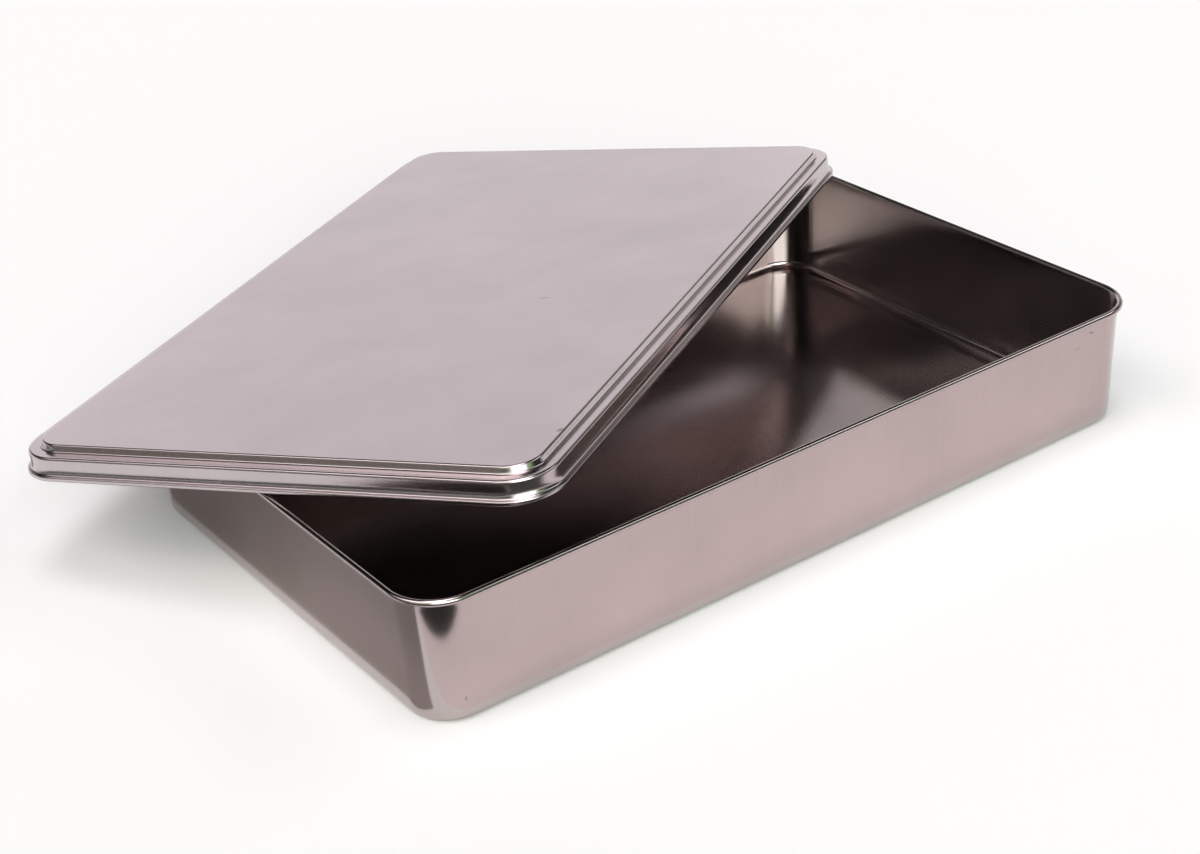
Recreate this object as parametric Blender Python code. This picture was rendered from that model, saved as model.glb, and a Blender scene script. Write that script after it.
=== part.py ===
"""A covered instrument tray in stainless steel sheet.

The pan is drawn from one sheet: floor, four leaning walls and a hollow rolled rim.
The cover is pressed from another: raised panel, flat band, skirt and hemmed flange.
The cover lies askew on the pan. Its flange rests on the rim at two places, and its raised
panel rests on the rim's rear left corner, so its place and tilt follow from three contacts.

Metres, +Z up. The origin is the middle of the pan's underside, and the long side runs along X.
"""

import math

import bmesh
import bpy
from mathutils import Matrix, Vector

# Both pieces
SHEET = 0.0008  # thickness of the steel sheet
REST_GAP = 0.0003  # air left between faces that touch
CORNER_STEPS = 8  # flat facets round each rounded corner

# The pan, measured over its rolled rim
PAN_LENGTH = 0.425
PAN_WIDTH = 0.271
PAN_HEIGHT = 0.064
PAN_CORNER_RADIUS = 0.025
RIM_DIAMETER = 0.0032
RIM_SLOT = 0.0004  # gap between the curl's free edge and the wall
WALL_LEAN = 0.0022  # how far each wall moves in on its way down
FLOOR_FILLET = 0.0045  # outer radius between wall and floor

# The cover
COVER_FIT = 0.00055  # air between the rim and the skirt all round
CORNER_TIGHTER = 0.00435  # the skirt's corners are this much sharper than the rim's own curve
SKIRT_DEPTH = 0.0102  # from the band's underside to the flange's underside
SHOULDER_RADIUS = 0.0012  # outer radius between band and skirt
FOOT_RADIUS = 0.0014  # hollow radius between skirt and flange
FLANGE_FLAT = 0.0001  # straight stretch between that radius and the folded edge
HEM_INSET = 0.0006  # the folded edge stops this far outside the skirt's inner face
BAND_WIDTH = 0.0063  # flat band between the skirt's face and the panel's foot
PANEL_RISE = 0.0034
PANEL_SLOPE = 0.0011  # how far the riser leans in on its way up

# How the cover lies on the pan
COVER_TURN = math.radians(31.7)
COVER_PAST_RIGHT = 0.00554  # the flange's right corner passes the right rim's crown by this
COVER_PAST_REAR = 0.02992  # the skirt's rear face passes the rim's rear left corner by this

ARC_STEPS = 4  # facets round a quarter bend of the sheet
SETTLING_ROUNDS = 20  # rounds in which the cover's resting place is worked out
SHARP_EDGE = math.radians(40)  # bends steeper than this between two facets show as an edge


def arc(centre, radius, start, end, steps=ARC_STEPS):
    """Points (offset, height) on an arc, with angles in degrees from straight outwards."""
    points = []
    for step in range(steps + 1):
        angle = math.radians(start + (end - start) * step / steps)
        points.append(
            (centre[0] + radius * math.cos(angle), centre[1] + radius * math.sin(angle))
        )
    return points


def pan_section():
    """The cut sheet from the underside, up the outside, round the curl and down the inside.

    Offsets are measured outwards from the wall's outer face under the rim.
    """
    inner_fillet = FLOOR_FILLET - SHEET
    foot = -WALL_LEAN - FLOOR_FILLET
    curl = RIM_DIAMETER / 2
    eye = (curl - SHEET, PAN_HEIGHT - curl)
    hollow = curl - SHEET
    free_edge = -math.degrees(math.acos((RIM_SLOT - eye[0]) / curl))
    outer_fillet_arc = arc((foot, FLOOR_FILLET), FLOOR_FILLET, -90, 0)
    inner_fillet_arc = arc((foot, FLOOR_FILLET), inner_fillet, 0, -90)
    return (
        outer_fillet_arc
        + arc(eye, hollow, 180, free_edge, 3 * ARC_STEPS)
        + arc(eye, curl, free_edge, 180, 3 * ARC_STEPS)
        + inner_fillet_arc
    )


def cover_section():
    """The cut sheet from the panel's top, out and down to the flange, and back underneath.

    Offsets are measured outwards from the skirt's outer face, and heights from the band's
    underside, which is the face that sits on the rim.
    """
    hem = SHEET  # radius of the half-round edge that two layers make
    flange_top = -SKIRT_DEPTH + 2 * SHEET
    panel_foot = -BAND_WIDTH
    panel_edge = panel_foot - PANEL_SLOPE
    lean = math.degrees(math.atan2(PANEL_RISE, PANEL_SLOPE))
    underside_shift = SHEET * math.tan(math.radians(lean / 2))
    top = [
        (panel_edge, SHEET + PANEL_RISE),
        (panel_foot, SHEET),
    ]
    shoulder = arc((-SHOULDER_RADIUS, SHEET - SHOULDER_RADIUS), SHOULDER_RADIUS, 90, 0)
    foot = arc((FOOT_RADIUS, flange_top + FOOT_RADIUS), FOOT_RADIUS, 180, 270)
    edge = arc((FOOT_RADIUS + FLANGE_FLAT, -SKIRT_DEPTH + hem), hem, 90, -90, 2 * ARC_STEPS)
    folded_back = [
        (-SHEET + HEM_INSET, -SKIRT_DEPTH),
        (-SHEET + HEM_INSET, -SKIRT_DEPTH + SHEET),
        (-SHEET, -SKIRT_DEPTH + SHEET),
    ]
    inside = [
        (-SHEET, -SHEET / 2),
        (-SHEET - SHEET / 2, 0.0),
        (panel_foot - underside_shift, 0.0),
        (panel_edge - underside_shift, PANEL_RISE),
    ]
    return top + shoulder + foot + edge + folded_back + inside


def rounded_outline(length, width, radius):
    """Corner points of a rectangle with round corners, counter-clockwise."""
    points = []
    for quarter in range(4):
        side_x = 1 if quarter in (0, 3) else -1
        side_y = 1 if quarter in (0, 1) else -1
        centre_x = side_x * (length / 2 - radius)
        centre_y = side_y * (width / 2 - radius)
        for step in range(CORNER_STEPS + 1):
            angle = math.radians(90 * (quarter + step / CORNER_STEPS))
            points.append(
                (centre_x + radius * math.cos(angle), centre_y + radius * math.sin(angle))
            )
    return points


def extrude_ring(shape, ring, outline, height):
    """Extrudes a closed ring of points, and moves the new ring to its own outline."""
    edges = [shape.edges.get((ring[i - 1], ring[i])) for i in range(len(ring))]
    fresh = set(bmesh.ops.extrude_edge_only(shape, edges=edges)["geom"])
    grown = []
    for point, (x, y) in zip(ring, outline):
        partners = [edge.other_vert(point) for edge in point.link_edges]
        partner = next(vert for vert in partners if vert in fresh)
        partner.co = (x, y, height)
        grown.append(partner)
    return grown


def sheet_body(name, section, length, width, radius, material):
    """One closed body: the section carried round a rectangle with round corners."""
    shape = bmesh.new()
    outlines = [
        rounded_outline(length + 2 * offset, width + 2 * offset, radius + offset)
        for offset, _ in section
    ]
    heights = [height for _, height in section]
    first = [shape.verts.new((x, y, heights[0])) for x, y in outlines[0]]
    shape.faces.new(first)
    ring = first
    for outline, height in zip(outlines[1:], heights[1:]):
        ring = extrude_ring(shape, ring, outline, height)
    shape.faces.new(ring)
    bmesh.ops.recalc_face_normals(shape, faces=shape.faces)
    if shape.calc_volume(signed=True) < 0:
        bmesh.ops.reverse_faces(shape, faces=shape.faces)
    mesh = bpy.data.meshes.new(name)
    shape.to_mesh(mesh)
    shape.free()
    mesh.shade_smooth()
    mesh.set_sharp_from_angle(angle=SHARP_EDGE)
    mesh.materials.append(material)
    body = bpy.data.objects.new(name, mesh)
    bpy.context.scene.collection.objects.link(body)
    return body


def steel(name, colour, roughness):
    """Satin stainless steel."""
    material = bpy.data.materials.new(name)
    material.use_nodes = True
    surface = material.node_tree.nodes["Principled BSDF"]
    surface.inputs["Base Color"].default_value = (*colour, 1.0)
    surface.inputs["Metallic"].default_value = 1.0
    surface.inputs["Roughness"].default_value = roughness
    return material


def skirt_length():
    """Outer size of the cover's skirt along the pan's length."""
    return PAN_LENGTH + 2 * (COVER_FIT + SHEET)


def skirt_width():
    """Outer size of the cover's skirt along the pan's width."""
    return PAN_WIDTH + 2 * (COVER_FIT + SHEET)


def skirt_corner_radius():
    """Radius of the skirt's outer face at its corners."""
    return PAN_CORNER_RADIUS + COVER_FIT + SHEET - CORNER_TIGHTER


def front_crossing(outline, x):
    """The foremost point where a closed outline crosses this x."""
    crossings = []
    for start, end in zip(outline, outline[1:] + outline[:1]):
        if (start.x - x) * (end.x - x) < 0:
            crossings.append(start + (end - start) * ((x - start.x) / (end.x - start.x)))
    return min(crossings, key=lambda point: point.y)


def cover_placement():
    """The cover's frame, from the three places where it touches the rim's crown.

    The cover's own frame has its origin in the middle of the band's underside. The inner edge
    of its flange touches the crown of the left and of the right rim, and the underside of its
    raised panel touches the rear left corner of the crown, where that corner reaches highest
    against the falling panel.
    """
    crown_height = PAN_HEIGHT + REST_GAP
    crown_x = PAN_LENGTH / 2 - RIM_DIAMETER / 2
    crown_radius = PAN_CORNER_RADIUS - RIM_DIAMETER / 2
    corner_centre = Vector(
        (PAN_CORNER_RADIUS - PAN_LENGTH / 2, PAN_WIDTH / 2 - PAN_CORNER_RADIUS, 0)
    )
    hem_in = SHEET - HEM_INSET
    flange_edge = [
        Vector((x, y, -SKIRT_DEPTH))
        for x, y in rounded_outline(
            skirt_length() - 2 * hem_in,
            skirt_width() - 2 * hem_in,
            skirt_corner_radius() - hem_in,
        )
    ]
    drop = SKIRT_DEPTH + PANEL_RISE  # from the panel's underside to the flange's
    turn = Matrix.Rotation(COVER_TURN, 3, "Z")
    downhill = Vector((0, 1, 0))
    origin = Vector((0, 0, crown_height))
    for _ in range(SETTLING_ROUNDS):
        rear_rest = corner_centre + crown_radius * downhill
        rear_rest.z = crown_height
        origin.x = crown_x + COVER_PAST_RIGHT - max((turn @ point).x for point in flange_edge)
        origin.y = 0
        rear_reach = skirt_width() / 2 - COVER_PAST_REAR
        origin.y = ((rear_rest - origin).dot(turn.col[1]) - rear_reach) / turn.col[1].y
        laid_edge = [turn @ point + origin for point in flange_edge]
        left_rest = front_crossing(laid_edge, -crown_x)
        right_rest = front_crossing(laid_edge, crown_x)
        left_rest.z = right_rest.z = crown_height
        along = (right_rest - left_rest).normalized()
        across = rear_rest - left_rest
        across -= along * across.dot(along)
        slope = drop / across.length
        normal = across.normalized() * slope
        normal += along.cross(across.normalized()) * math.sqrt(1 - slope * slope)
        downhill = Vector((normal.x, normal.y, 0)).normalized()
        x_axis = Vector((math.cos(COVER_TURN), math.sin(COVER_TURN), 0))
        x_axis.z = -(normal.x * x_axis.x + normal.y * x_axis.y) / normal.z
        x_axis.normalize()
        turn = Matrix((x_axis, normal.cross(x_axis), normal)).transposed()
        level = SKIRT_DEPTH + normal.dot(left_rest)
        origin.z = (level - normal.x * origin.x - normal.y * origin.y) / normal.z
    return Matrix.Translation(origin) @ turn.to_4x4()


def make_pan():
    """The section is carried round the outer face of the walls, just under the rim."""
    overhang = RIM_DIAMETER - SHEET
    return sheet_body(
        "tray_pan",
        pan_section(),
        PAN_LENGTH - 2 * overhang,
        PAN_WIDTH - 2 * overhang,
        PAN_CORNER_RADIUS - overhang,
        steel("pan_steel", (0.60, 0.55, 0.55), 0.26),
    )


def make_cover():
    """The section is carried round the outer face of the skirt, and then laid on the rim."""
    cover = sheet_body(
        "lid",
        cover_section(),
        skirt_length(),
        skirt_width(),
        skirt_corner_radius(),
        steel("lid_steel", (0.64, 0.58, 0.59), 0.22),
    )
    cover.matrix_world = cover_placement()
    return cover


for old in list(bpy.data.objects):
    bpy.data.objects.remove(old, do_unlink=True)

make_pan()
make_cover()
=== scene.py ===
# %% [markdown]
# # A covered instrument tray
#
# The tray is two pieces of stainless steel sheet. The pan is drawn deep from one blank, and its
# edge is rolled outwards into a hollow bead. The cover is pressed from another blank, and it lies
# askew on the pan. The finished solids of both pieces are loaded first. They fix every size and
# place, and this lesson builds the fine surface and the finish on top of them.

# %% Load the solids
import bmesh
import bpy
import math
from mathutils import Matrix, Vector


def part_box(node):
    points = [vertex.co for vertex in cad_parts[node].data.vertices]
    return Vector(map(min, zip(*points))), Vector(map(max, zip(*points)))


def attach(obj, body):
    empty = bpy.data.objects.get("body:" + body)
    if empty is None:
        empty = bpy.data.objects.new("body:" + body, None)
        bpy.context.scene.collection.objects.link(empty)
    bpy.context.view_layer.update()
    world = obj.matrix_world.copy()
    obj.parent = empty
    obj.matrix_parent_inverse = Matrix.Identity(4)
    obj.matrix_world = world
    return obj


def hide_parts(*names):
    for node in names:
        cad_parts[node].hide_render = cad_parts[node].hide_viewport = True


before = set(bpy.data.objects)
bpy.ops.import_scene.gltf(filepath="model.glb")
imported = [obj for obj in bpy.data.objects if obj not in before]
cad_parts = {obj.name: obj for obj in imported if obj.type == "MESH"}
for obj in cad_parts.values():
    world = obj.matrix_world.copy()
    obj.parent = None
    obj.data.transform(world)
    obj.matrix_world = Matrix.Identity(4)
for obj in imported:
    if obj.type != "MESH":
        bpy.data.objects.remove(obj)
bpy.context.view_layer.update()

# %% [markdown]
# ## The sheet and its bends
#
# Both pieces are bent from sheet 0.8 mm thick. A section through such a piece is a chain of
# straight stretches and round bends, so the section is drawn like a bending job: a point is
# pulled along a straight stretch, or spun about a bend's centre. Spinning a single point leaves
# an arc of edges behind it, which is smoother and simpler than bevelling a kink afterwards.

# %% A pen that draws sections
SHEET = 0.0008
ACROSS = Vector((0, 1, 0))  # sections are drawn in the XZ plane


class Pen:
    """Draws one section as a chain of edges, starting from a single point."""

    def __init__(self, x, z):
        self.shape = bmesh.new()
        self.tip = self.shape.verts.new((x, 0, z))

    def line_to(self, x, z, stretches=1):
        """A straight stretch, in equal parts."""
        step = (Vector((x, 0, z)) - self.tip.co) / stretches
        for _ in range(stretches):
            pulled = bmesh.ops.extrude_vert_indiv(self.shape, verts=[self.tip])
            self.tip = pulled["verts"][0]
            bmesh.ops.translate(self.shape, verts=[self.tip], vec=step)

    def bend(self, centre_x, centre_z, degrees, steps):
        """A round bend about a centre. Positive degrees turn the sheet's edge upwards."""
        spun = bmesh.ops.spin(
            self.shape,
            geom=[self.tip],
            cent=(centre_x, 0, centre_z),
            axis=-ACROSS,
            angle=math.radians(degrees),
            steps=steps,
        )
        self.tip = next(v for v in spun["geom_last"] if isinstance(v, bmesh.types.BMVert))


print("a sheet", 1000 * SHEET, "mm thick")

# %% [markdown]
# ## From a section to a whole pressing
#
# A drawn pan or a pressed cover has four equal corners, each turned about an upright axis, with
# straight walls between them. So one quarter is enough: the section is spun a quarter turn about
# a corner's axis, the open edges are pulled straight to the middle planes, and the quarter is
# mirrored twice. Doubles are merged before the normals are recalculated, because a mirrored
# shape is turned inside out.

# %% Spin, pull and mirror
CORNER_STEPS = 30  # facets round a corner
PULLS = 10  # parts in each straight stretch between corners
MERGE = 1e-6


def pull(shape, edges, step):
    """Pulls an open edge along in equal parts, as far as the middle plane."""
    for _ in range(PULLS):
        grown = bmesh.ops.extrude_edge_only(shape, edges=edges)["geom"]
        points = {g for g in grown if isinstance(g, bmesh.types.BMVert)}
        bmesh.ops.translate(shape, verts=list(points), vec=step)
        edges = [
            g for g in grown
            if isinstance(g, bmesh.types.BMEdge) and points.issuperset(g.verts)
        ]


def pressing(pen, reach_x, reach_y):
    """The whole sheet surface from a section drawn outwards from x = reach_x."""
    shape = pen.shape
    section = list(shape.edges)
    inwards = Vector((-reach_x / PULLS, 0, 0))
    bmesh.ops.translate(shape, verts=shape.verts, vec=(0, reach_y, 0))
    spun = bmesh.ops.spin(
        shape,
        geom=list(shape.verts) + section,
        cent=(reach_x, reach_y, 0),
        axis=(0, 0, 1),
        angle=math.pi / 2,
        steps=CORNER_STEPS,
    )
    far_end = [g for g in spun["geom_last"] if isinstance(g, bmesh.types.BMEdge)]
    pull(shape, far_end, inwards)
    pull(shape, section, Vector((0, -reach_y / PULLS, 0)))
    inner = [
        e for e in shape.edges
        if e.is_boundary and all(abs(v.co.x - reach_x) < MERGE for v in e.verts)
        and all(v.co.y < reach_y + MERGE for v in e.verts)
    ]
    pull(shape, inner, inwards)
    bmesh.ops.remove_doubles(shape, verts=shape.verts, dist=MERGE)
    for axis in "XY":
        bmesh.ops.mirror(
            shape, geom=shape.verts[:] + shape.edges[:] + shape.faces[:],
            axis=axis, merge_dist=MERGE,
        )
    bmesh.ops.remove_doubles(shape, verts=shape.verts, dist=MERGE)
    bmesh.ops.recalc_face_normals(shape, faces=shape.faces)
    return shape


print("each corner turns in", CORNER_STEPS, "steps")

# %% [markdown]
# ## The thickness of the sheet
#
# The drawn surface is one face of the sheet, the upper or inner one. A Solidify modifier adds
# the other face below it, an even 0.8 mm away, so both faces stay parallel in every bend. Its
# direction follows the normals, which is why the widest flat face is made to point up first.

# %% Give a pressing its thickness
def top_faces_up(shape):
    """Turns the whole surface over if its widest flat face points down."""
    widest = max(shape.faces, key=lambda face: face.calc_area())
    if widest.normal.z < 0:
        bmesh.ops.reverse_faces(shape, faces=shape.faces)


def finished(name, shape, place=Matrix.Identity(4)):
    """Makes the object, in its place, and gives the sheet its thickness below the surface."""
    top_faces_up(shape)
    bmesh.ops.transform(shape, matrix=place, verts=shape.verts)
    mesh = bpy.data.meshes.new(name)
    shape.to_mesh(mesh)
    shape.free()
    mesh.shade_smooth()
    piece = bpy.data.objects.new(name, mesh)
    bpy.context.scene.collection.objects.link(piece)
    wall = piece.modifiers.new("sheet", "SOLIDIFY")
    wall.thickness = SHEET
    wall.offset = -1
    wall.use_even_offset = True
    print(name, len(mesh.polygons), "faces before the thickness")
    return piece


print("the two faces of the sheet lie", 1000 * SHEET, "mm apart")

# %% [markdown]
# ## The pan
#
# The pan's sizes come from its solid, and the rest are the radii that a press tool would have.
# The edge is rolled outwards into a hollow bead, which makes the thin sheet stiff and leaves no
# sharp edge to cut a glove. The wall leans out a little so that the punch comes free.

# %% Sizes of the pan
pan_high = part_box("tray_pan")[1]
half_length, half_width, pan_height = pan_high.x, pan_high.y, pan_high.z
PAN_CORNER = 0.025  # radius over the bead
BEAD = 0.0016  # outer radius of the rolled edge
ROLLED = 281  # degrees that the edge is rolled round
FLOOR_BEND = 0.0037  # inner radius between floor and wall
WALL_LEAN = math.radians(2.2)
STEP_RADIUS = 0.040  # the floor's middle is raised in a soft step
STEP_SLOPE = math.radians(6)
STEP_INSET = 0.0025  # flat stretch between the step and the bend into the wall
print("pan", [round(1000 * v, 1) for v in (2 * half_length, 2 * half_width, pan_height)])

# %% [markdown]
# ## The pan's section
#
# The section starts on the floor, under a corner's axis. The floor's middle is raised by less
# than half a millimetre in a soft step, so the pan stands on its outer edge. A tight bend and the
# leaning wall follow, and then the bead. This line is the inner face of the sheet, and round the
# bead the same face turns to the outside.

# %% Draw the pan's section
def pan_section(axis_x):
    eye_x, eye_z = half_length - BEAD, pan_height - BEAD  # centre of the bead
    wall_top = (eye_x - BEAD * math.cos(WALL_LEAN), eye_z + BEAD * math.sin(WALL_LEAN))
    wall_foot_z = SHEET + FLOOR_BEND * (1 - math.sin(WALL_LEAN))
    wall_foot_x = wall_top[0] - (wall_top[1] - wall_foot_z) * math.tan(WALL_LEAN)
    bend_x = wall_foot_x - FLOOR_BEND * math.cos(WALL_LEAN)
    step_run = STEP_RADIUS * math.sin(STEP_SLOPE)
    step_rise = STEP_RADIUS * (1 - math.cos(STEP_SLOPE))
    step_x = bend_x - STEP_INSET - 2 * step_run
    slope = math.degrees(STEP_SLOPE)
    pen = Pen(axis_x, SHEET + 2 * step_rise)
    pen.line_to(step_x, SHEET + 2 * step_rise, 2)
    pen.bend(step_x, SHEET + 2 * step_rise - STEP_RADIUS, -slope, 6)
    pen.bend(step_x + 2 * step_run, SHEET + STEP_RADIUS, slope, 6)
    pen.line_to(bend_x, SHEET, 2)
    pen.bend(bend_x, SHEET + FLOOR_BEND, 90 - math.degrees(WALL_LEAN), 12)
    pen.line_to(*wall_top, 12)
    pen.bend(eye_x, eye_z, -ROLLED, 30)
    return pen


def make_pan():
    axis_x, axis_y = half_length - PAN_CORNER, half_width - PAN_CORNER
    pan = finished("drawn_pan", pressing(pan_section(axis_x), axis_x, axis_y))
    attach(pan, "pan")
    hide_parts("tray_pan")
    return pan


pan = make_pan()

# %% [markdown]
# ## The cover
#
# The cover fits over the bead with a little air. Its radii are smaller than the pan's, because
# they are pressed in shallow sheet. Each turn of the metal catches its own thin line of light,
# and those lines are most of what makes a plain steel lid look real, so every bend is drawn.

# %% Sizes of the cover
COVER_FIT = 0.00055  # air between the bead and the skirt
COVER_CORNER = 0.022  # radius of the skirt's outer face
SKIRT_DEPTH = 0.0102  # from the band's underside to the flange's underside
BAND = 0.0063  # width of the flat band round the raised panel
PANEL_RISE = 0.0034
RISER_SLOPE = math.radians(72)
RISER_BEND = 0.0011
SHOULDER = 0.0012  # radius from the band into the skirt
FLARE_RADIUS = 0.009  # the skirt turns out gently first
FLARE = math.radians(18)
FOOT = 0.00157  # how far the whole foot reaches out
HEM = 0.0023  # height of the folded edge
HEM_BEND = 0.0007
HEM_RETURN = 0.0021  # how far the fold comes back underneath
skirt_x, skirt_y = half_length + COVER_FIT + SHEET, half_width + COVER_FIT + SHEET
print("skirt", [round(2000 * v, 1) for v in (skirt_x, skirt_y)])

# %% [markdown]
# ## The cover's section
#
# The section runs over the raised panel, down its riser to the flat band that lies on the pan's
# rim, over the shoulder, and down the skirt. At the foot the sheet turns out into a small flange,
# whose edge is folded back underneath. A bend of radius r through an angle a starts r tan(a / 2)
# before the corner that its two straight stretches would make, which is what set_back holds.

# %% Draw the cover's section
def cover_section(axis_x):
    band_z, panel_z = SHEET, SHEET + PANEL_RISE
    slope = math.degrees(RISER_SLOPE)
    set_back = RISER_BEND * math.tan(RISER_SLOPE / 2)
    riser_foot = skirt_x - BAND
    riser_top = riser_foot - PANEL_RISE / math.tan(RISER_SLOPE)
    down = Vector((math.cos(RISER_SLOPE), 0, -math.sin(RISER_SLOPE)))
    low = Vector((riser_foot, 0, band_z)) - down * set_back
    pen = Pen(axis_x, panel_z)
    pen.line_to(riser_top - set_back - SHEET, panel_z, 2)
    pen.line_to(riser_top - set_back, panel_z)
    pen.bend(riser_top - set_back, panel_z - RISER_BEND, -slope, 8)
    pen.line_to(low.x, low.z, 3)
    pen.bend(riser_foot + set_back, band_z + RISER_BEND, slope, 8)
    pen.line_to(skirt_x - SHOULDER, band_z, 4)
    pen.bend(skirt_x - SHOULDER, band_z - SHOULDER, -90, 10)
    draw_foot(pen)
    return pen


def draw_foot(pen):
    """The skirt's foot: a gentle flare, a tighter bend outwards, and the folded edge."""
    flange_z = HEM - SKIRT_DEPTH
    foot_radius = (FOOT - FLARE_RADIUS * (1 - math.cos(FLARE))) / math.cos(FLARE)
    flare_z = flange_z + foot_radius * (1 - math.sin(FLARE)) + FLARE_RADIUS * math.sin(FLARE)
    flare = math.degrees(FLARE)
    pen.line_to(skirt_x, flare_z, 5)
    pen.bend(skirt_x + FLARE_RADIUS, flare_z, flare, 6)
    pen.bend(skirt_x + FOOT, flange_z + foot_radius, 90 - flare, 8)
    pen.bend(skirt_x + FOOT, flange_z - HEM_BEND, -90, 8)
    pen.line_to(skirt_x + FOOT + HEM_BEND, HEM_BEND - SKIRT_DEPTH, 2)
    pen.bend(skirt_x + FOOT, HEM_BEND - SKIRT_DEPTH, -90, 8)
    pen.line_to(skirt_x + FOOT - HEM_RETURN, -SKIRT_DEPTH, 2)


print("the panel stands", 1000 * PANEL_RISE, "mm over the band")

# %% [markdown]
# ## Laying the cover down
#
# The cover is built level, round its own middle, and laid on the pan afterwards. It is turned
# in plan, and it leans where its panel dips to the pan's rear corner. The solids already hold
# the true resting place, so the fine piece is slid until both boxes have the same middle.

# %% Lay the cover on the rim
COVER_TURN = math.radians(31.7)
COVER_LEAN = math.radians(6.055)
LEAN_TOWARDS = math.radians(103.48)  # direction in which the cover falls


def cover_turn():
    """The turn in plan and the lean, as one matrix of the cover's own three axes."""
    up = Vector((
        math.sin(COVER_LEAN) * math.cos(LEAN_TOWARDS),
        math.sin(COVER_LEAN) * math.sin(LEAN_TOWARDS),
        math.cos(COVER_LEAN),
    ))
    along = Vector((math.cos(COVER_TURN), math.sin(COVER_TURN), 0))
    along.z = -(up.x * along.x + up.y * along.y) / up.z
    along.normalize()
    return Matrix((along, up.cross(along), up)).transposed().to_4x4()


def box_middle(points):
    low = Vector([min(p[i] for p in points) for i in range(3)])
    high = Vector([max(p[i] for p in points) for i in range(3)])
    return (low + high) / 2


def make_cover():
    axis_x, axis_y = skirt_x - COVER_CORNER, skirt_y - COVER_CORNER
    shape = pressing(cover_section(axis_x), axis_x, axis_y)
    turn = cover_turn()
    cad_middle = box_middle(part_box("lid"))
    own_middle = box_middle([turn @ v.co for v in shape.verts])
    place = Matrix.Translation(cad_middle - own_middle) @ turn
    cover = finished("pressed_cover", shape, place)
    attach(cover, "lid")
    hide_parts("lid")
    print("cover's middle", [round(1000 * v, 2) for v in place.translation])
    return cover


cover = make_cover()

# %% [markdown]
# ## Arithmetic with nodes
#
# A procedural finish is a sum written in nodes: a position goes in, and a shade comes out. Typing
# such sums by hand takes four lines a node, so a small helper adds each node, feeds it with plain
# numbers or with the outputs of earlier nodes, and gives its result back for the next step.

# %% A helper that writes sums in nodes
class Formula:
    """Adds nodes to a tree and wires them up."""

    def __init__(self, tree):
        self.nodes, self.links = tree.nodes, tree.links

    def feed(self, socket, term):
        """A plain number, or three of them, is set on the socket. Anything else is wired."""
        if isinstance(term, (int, float, tuple)):
            socket.default_value = term
        else:
            self.links.new(term, socket)

    def position(self, output):
        return self.nodes.new("ShaderNodeTexCoord").outputs[output]

    def parts(self, vector):
        """The three numbers of a position."""
        node = self.nodes.new("ShaderNodeSeparateXYZ")
        self.feed(node.inputs["Vector"], vector)
        return node.outputs

    def math(self, operation, *terms):
        node = self.nodes.new("ShaderNodeMath")
        node.operation = operation
        for socket, term in zip(node.inputs, terms):
            self.feed(socket, term)
        return node.outputs["Value"]

    def ramp(self, value, start, end, low=0.0, high=1.0, smooth=True):
        """From low to high as the value goes from start to end, and level outside."""
        node = self.nodes.new("ShaderNodeMapRange")
        node.interpolation_type = "SMOOTHSTEP" if smooth else "LINEAR"
        for socket, term in zip(node.inputs, (value, start, end, low, high)):
            self.feed(socket, term)
        return node.outputs["Result"]

    def scaled(self, colour, amount):
        node = self.nodes.new("ShaderNodeVectorMath")
        node.operation = "SCALE"
        self.feed(node.inputs["Vector"], colour)
        self.feed(node.inputs["Scale"], amount)
        return node.outputs["Vector"]

    def added(self, first, second):
        node = self.nodes.new("ShaderNodeVectorMath")
        self.feed(node.inputs[0], first)
        self.feed(node.inputs[1], second)
        return node.outputs["Vector"]


print("helpers:", *[name for name in vars(Formula) if not name.startswith("_")])

# %% [markdown]
# ## Marks of use
#
# A steel tray that has been in use has a few small scuffs. Each one is an oval in space: a
# Mapping node moves, turns and stretches the position so that the oval becomes a ball of radius
# one, and the distance from its middle then says how deep in the mark a point lies.

# %% A small oval mark
def mark(formula, place, centre, size, turn):
    """One where the mark lies, fading to nothing round it."""
    mapping = formula.nodes.new("ShaderNodeMapping")
    mapping.vector_type = "TEXTURE"
    mapping.inputs["Location"].default_value = centre
    mapping.inputs["Rotation"].default_value = [math.radians(angle) for angle in turn]
    mapping.inputs["Scale"].default_value = size
    formula.feed(mapping.inputs["Vector"], place)
    distance = formula.nodes.new("ShaderNodeVectorMath")
    distance.operation = "LENGTH"
    formula.feed(distance.inputs[0], mapping.outputs["Vector"])
    return formula.ramp(distance.outputs["Value"], 1.0, 0.3)


# centre and half sizes in metres, turn in degrees
PAN_MARKS = (
    ((0.208, 0.081, 0.0137), (0.003, 0.0100, 0.0009), (-6, 0, 0)),
    ((0.208, 0.060, 0.0200), (0.003, 0.0050, 0.0007), (-9, 0, 0)),
    ((-0.1985, -0.1325, 0.0356), (0.0009, 0.003, 0.0012), (0, 30, 0)),
    ((-0.1920, -0.1320, 0.0117), (0.0008, 0.003, 0.0022), (0, 0, 0)),
    ((0.1780, -0.1340, 0.0560), (0.0030, 0.003, 0.0010), (0, 25, 0)),
    ((0.1690, -0.1340, 0.0500), (0.0022, 0.003, 0.0007), (0, -20, 0)),
)
COVER_MARKS = (
    ((-0.1065, -0.0876, 0.0900), (0.0030, 0.0018, 0.004), (0, 0, 20)),
    ((-0.0200, 0.0500, 0.0780), (0.0040, 0.0006, 0.004), (0, 0, -35)),
)
print(len(PAN_MARKS) + len(COVER_MARKS), "small marks of use")

# %% [markdown]
# ## Clouds, smears and drag lines
#
# Noise gives the uneven parts of a finish. At one scale it makes clouds. With a large scale
# across the wall and a small one along it, the same noise becomes fine upright lines. Most of its
# values lie near the middle, so the middle is spread over the range that the finish needs.

# %% Uneven shades
MIDDLE = (0.3, 0.7)  # where most values of a noise lie


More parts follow.
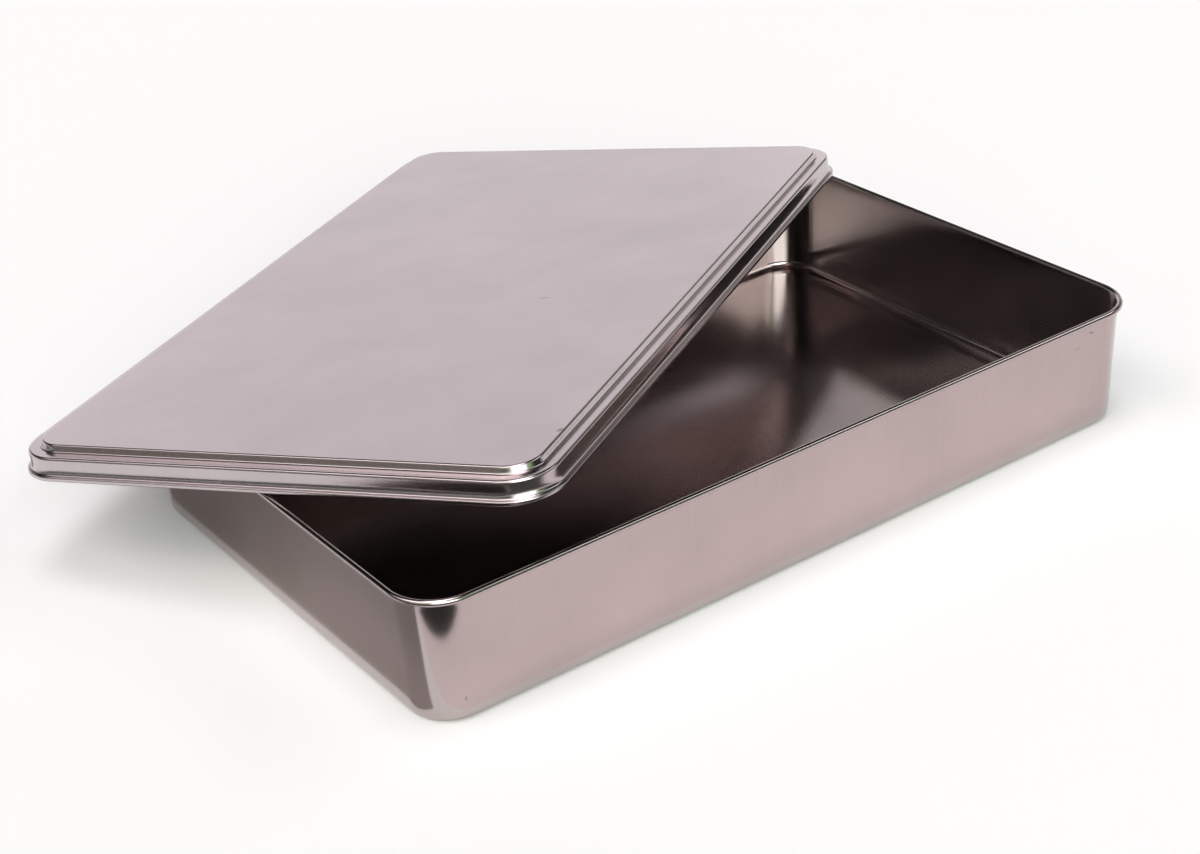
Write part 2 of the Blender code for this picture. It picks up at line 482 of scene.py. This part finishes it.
def noise(formula, place, scale, detail):
    """Noise. Three scales stretch it along the axis where the scale is small."""
    texture = formula.nodes.new("ShaderNodeTexNoise")
    texture.inputs["Detail"].default_value = detail
    if isinstance(scale, tuple):
        mapping = formula.nodes.new("ShaderNodeMapping")
        mapping.inputs["Scale"].default_value = scale
        formula.feed(mapping.inputs["Vector"], place)
        place, scale = mapping.outputs["Vector"], 1
    texture.inputs["Scale"].default_value = scale
    formula.feed(texture.inputs["Vector"], place)
    return texture.outputs["Fac"]


def uneven(formula, place, scale, detail, low, high):
    """Noise that varies between two values."""
    value = noise(formula, place, scale, detail)
    return formula.ramp(value, *MIDDLE, low, high, smooth=False)


print("noise is spread over its middle", MIDDLE)

# %% [markdown]
# ## Satin steel
#
# Stainless steel is a metal, so its colour is the colour of its reflections. What tells one
# sheet from another is the roughness and how it varies: broad smears where a cloth has gone
# over it, and faint upright lines where the die has dragged along the drawn walls. So the shade
# varies by a few per cent, the roughness by a little more, and a fine upright grain tilts the
# surface by a hair.

# %% Steel
PAN_TINT = (0.49, 0.43, 0.425)
COVER_TINT = (0.54, 0.48, 0.49)
DRAG_LINES, DRAG_SHADE = (420, 420, 9), 0.012  # noise per metre, and how much it shades
CLOUDS, CLOUD_SHADE = 22, 0.045
MARK_SHADE = 0.45  # how much darker a mark is
SMEARS = 14  # patches of rougher and smoother steel
GRAIN, GRAIN_STRENGTH, GRAIN_HEIGHT = (1500, 1500, 40), 0.05, 0.0003


def steel(name, tint, roughness, marks):
    """Satin steel of a tint, with its roughness between two values."""
    material = bpy.data.materials.new(name)
    material.use_nodes = True
    surface = material.node_tree.nodes["Principled BSDF"]
    surface.inputs["Metallic"].default_value = 1
    formula = Formula(material.node_tree)
    place = formula.position("Object")
    drag = uneven(formula, place, DRAG_LINES, 3, -DRAG_SHADE, DRAG_SHADE)
    cloud = uneven(formula, place, CLOUDS, 4, 1 - CLOUD_SHADE, 1 + CLOUD_SHADE)
    shade = formula.math("ADD", drag, cloud)
    for centre, size, turn in marks:
        depth = mark(formula, place, centre, size, turn)
        shade = formula.math("MULTIPLY_ADD", depth, -MARK_SHADE, shade)
    formula.feed(surface.inputs["Base Color"], formula.scaled(tint, shade))
    smear = uneven(formula, place, SMEARS, 3, *roughness)
    formula.feed(surface.inputs["Roughness"], smear)
    bump = formula.nodes.new("ShaderNodeBump")
    bump.inputs["Strength"].default_value = GRAIN_STRENGTH
    bump.inputs["Distance"].default_value = GRAIN_HEIGHT
    formula.feed(bump.inputs["Height"], noise(formula, place, GRAIN, 4))
    formula.feed(surface.inputs["Normal"], bump.outputs["Normal"])
    return material


pan.data.materials.append(steel("drawn_steel", PAN_TINT, (0.13, 0.19), PAN_MARKS))
cover.data.materials.append(steel("pressed_steel", COVER_TINT, (0.16, 0.21), COVER_MARKS))
print("two steels:", PAN_TINT, COVER_TINT)

# %% [markdown]
# ## The floor
#
# Polished sheet shows the room, and the outer walls of the tray show mostly the floor that it
# stands on. So the floor is pale and matt, large enough to have no edge in view, and lit by the
# room alone.

# %% Floor
FLOOR_SIDE = 24


def ground(name, middle, sides, colour, roughness, towards=0.0):
    """A flat piece of ground: its middle, its two sides, and where its first side points."""
    shape = bmesh.new()
    bmesh.ops.create_grid(shape, x_segments=1, y_segments=1, size=0.5)
    bmesh.ops.scale(shape, verts=shape.verts, vec=(*sides, 1))
    place = Matrix.Translation(middle) @ Matrix.Rotation(math.radians(towards), 4, "Z")
    bmesh.ops.transform(shape, matrix=place, verts=shape.verts)
    mesh = bpy.data.meshes.new(name)
    shape.to_mesh(mesh)
    shape.free()
    piece = bpy.data.objects.new(name, mesh)
    bpy.context.scene.collection.objects.link(piece)
    material = bpy.data.materials.new(name)
    material.use_nodes = True
    surface = material.node_tree.nodes["Principled BSDF"]
    surface.inputs["Base Color"].default_value = (*colour, 1)
    surface.inputs["Roughness"].default_value = roughness
    mesh.materials.append(material)
    return piece


ground("floor", (0, 0, 0), (FLOOR_SIDE, FLOOR_SIDE), (0.98, 0.98, 1.0), 0.9)
print("a floor", FLOOR_SIDE, "m wide")

# %% [markdown]
# ## Ground that only the steel sees
#
# A studio lays dark card round shiny sheet to draw its corners. The same is done here with
# thin pieces of ground that show in reflections but not to the camera, and that cast no shadow.
# Two dark ones end the pale floor, as the steel sees it. A faintly pink one warms the front wall,
# and a narrow strip carries a painted shadow of the overhanging cover on the floor, darker away
# from the pan, which darkens the left wall.

# %% Dark, pink and painted-shadow ground
DARK = (0.012, 0.012, 0.009)
DARK_SIDES = (1.0, 1.6)
PINK = (0.96, 0.875, 0.90)
# painted shadow beside the pan: the strip's tint, where its shade runs, and how dark each end is
PAINTED_SHADOW_TINT = (1, 0.91, 0.90)
STRIP = (-0.29, -0.214)  # the shade runs from the strip's outer edge to the wall
STRIP_SHADES = (0.24, 0.42)


def only_reflected(piece):
    piece.visible_camera = piece.visible_diffuse = piece.visible_shadow = False
    return piece


def dark_ground(name, towards, distance):
    """The pale floor ends at this distance, as the steel sees it."""
    reach, angle = distance + DARK_SIDES[0] / 2, math.radians(towards)
    middle = (reach * math.cos(angle), reach * math.sin(angle), 0.0005)
    return only_reflected(ground(name, middle, DARK_SIDES, DARK, 1, towards))


def painted_shadow_ground():
    """A strip of painted shadow along the left wall, whose shade changes across it."""
    strip = ground("painted_shadow_ground", (-0.2564, 0.0975, 0.0004), (0.087, 0.445), PAINTED_SHADOW_TINT, 1)
    tree = strip.data.materials[0].node_tree
    formula = Formula(tree)
    across = formula.parts(formula.position("Object"))["X"]
    shade = formula.ramp(across, *STRIP, *STRIP_SHADES, smooth=False)
    colour = formula.scaled(PAINTED_SHADOW_TINT, shade)
    formula.feed(tree.nodes["Principled BSDF"].inputs["Base Color"], colour)
    return only_reflected(strip)


seen_only_in_steel = [
    only_reflected(ground("pink_ground", (0.3, -1.137, 0.0003), (2, 2), PINK, 1)),
    dark_ground("ground_in_front", -125.5, 0.277),
    dark_ground("ground_on_the_left", 180, 0.53),
    # the strip of painted shadow of the cover beside the pan
    painted_shadow_ground(),
]
print(len(seen_only_in_steel), "pieces of ground that only the steel sees")

# %% [markdown]
# ## The windows of the room
#
# A low pale wall far behind lights the cover, large soft windows light the rest, and everything
# between them stays dark, which leaves the inside of the pan deep and dark. Lamps would show as
# hard spots in the steel, so the light comes from the world itself: each window is a patch of
# directions with soft edges, given by where it is centred, how wide it is and how high it goes.

# %% List the windows
# towards, half width, soft edge, lowest, highest, soft edge (degrees), colour
WINDOWS = (
    (64.4, 16.9, 5.0, -10.0, 29.7, 2.0, (0.92, 0.88, 0.905)),  # pale wall far behind
    (36.0, 14.0, 5.0, -10.0, 20.0, 3.0, (0.80, 0.76, 0.76)),  # its lower part, to the right
    (29.5, 18.0, 4.0, 24.0, 32.1, 2.0, (0.50, 0.47, 0.43)),  # its upper edge, to the right
    (-110.0, 23.0, 9.0, -10.0, 42.0, 8.0, (3.45, 3.75, 3.55)),  # large window in front
    (-73.0, 7.0, 7.0, 8.0, 42.0, 8.0, (0.38, 0.68, 0.30)),  # its greenish edge on the right
    (-156.0, 50.0, 12.0, 44.0, 70.0, 8.0, (2.70, 2.50, 2.35)),  # high window on the left
    (152.0, 20.0, 8.0, 34.0, 60.0, 6.0, (1.25, 1.17, 1.18)),  # high wall behind on the left
    (178.0, 18.0, 8.0, 2.0, 30.0, 4.0, (0.22, 0.20, 0.18)),  # dim wall on the left
    (-152.0, 24.0, 8.0, 16.0, 40.0, 6.0, (0.95, 1.00, 0.85)),  # pale window on the left
    (108.0, 34.0, 8.0, -10.0, 12.0, 4.0, (0.85, 0.80, 0.82)),  # low wall behind on the left
    (2.0, 28.0, 8.0, -10.0, 12.0, 4.0, (0.85, 0.80, 0.82)),  # low wall on the right
    (-30.0, 30.0, 10.0, 36.0, 46.0, 4.0, (2.40, 2.50, 2.45)),  # high strip on the right
    (0.0, 180.0, 0.1, 76.0, 100.0, 5.0, (4.65, 4.50, 4.78)),  # lamp straight above
)
DIM = (0.012, 0.011, 0.010)  # the dark room between the windows
print(len(WINDOWS), "windows light the room")

# %% [markdown]
# ## Light
#
# The world shader gets the direction in which a ray leaves. Its angle round the room and its
# height above the horizon follow from it, each window is the product of three soft ramps of
# those two angles, and the glow of all windows is added to the dim room.

# %% Light
def window(formula, azimuth, height, towards, half, soft, lowest, highest, soft_end):
    """How much a direction sees of one window: one inside it, nothing outside."""
    turned = formula.math("SUBTRACT", azimuth, math.radians(towards))
    turned = formula.math("WRAP", turned, math.pi, -math.pi)
    turned = formula.math("ABSOLUTE", turned)
    sides = formula.ramp(turned, math.radians(half + soft), math.radians(half - soft))
    foot = formula.ramp(
        height, math.radians(lowest - soft_end), math.radians(lowest + soft_end))
    top = formula.ramp(
        height, math.radians(highest + soft_end), math.radians(highest - soft_end))
    return formula.math("MULTIPLY", formula.math("MULTIPLY", sides, foot), top)


def make_room():
    room = bpy.data.worlds.new("room")
    room.use_nodes = True
    formula = Formula(room.node_tree)
    direction = formula.parts(formula.position("Generated"))
    azimuth = formula.math("ARCTAN2", direction["Y"], direction["X"])
    height = formula.math("ARCSINE", direction["Z"])
    light = DIM
    for *shape, colour in WINDOWS:
        seen = window(formula, azimuth, height, *shape)
        light = formula.added(light, formula.scaled(colour, seen))
    formula.feed(room.node_tree.nodes["Background"].inputs["Color"], light)
    bpy.context.scene.world = room
    return len(room.node_tree.nodes)


print("the room's light is a sum of", make_room(), "nodes")

# %% [markdown]
# ## Camera
#
# The camera stands at the front left, a little above the cover, and looks down over the near
# corner. A long lens from about a metre away keeps the long edges nearly parallel. The Standard
# view transform keeps the pale floor white.

# %% Camera
SENSOR, LENS = 36, 65.394
EYE = (-0.5587, -0.7844, 0.5381)
RIGHT = Vector((0.80527, -0.58932, -0.06519))
FORWARD = Vector((0.49438, 0.72807, -0.47487))


def make_camera():
    camera = bpy.data.cameras.new("camera")
    camera.sensor_width, camera.lens = SENSOR, LENS
    camera.clip_start, camera.clip_end = 0.01, 60
    eye = bpy.data.objects.new("camera", camera)
    bpy.context.scene.collection.objects.link(eye)
    axes = Matrix((RIGHT, RIGHT.cross(FORWARD), -FORWARD)).transposed().to_4x4()
    eye.matrix_world = Matrix.Translation(EYE) @ axes
    bpy.context.scene.camera = eye


make_camera()
bpy.context.scene.view_settings.view_transform = "Standard"
print("the camera looks from", EYE)

# %% [markdown]
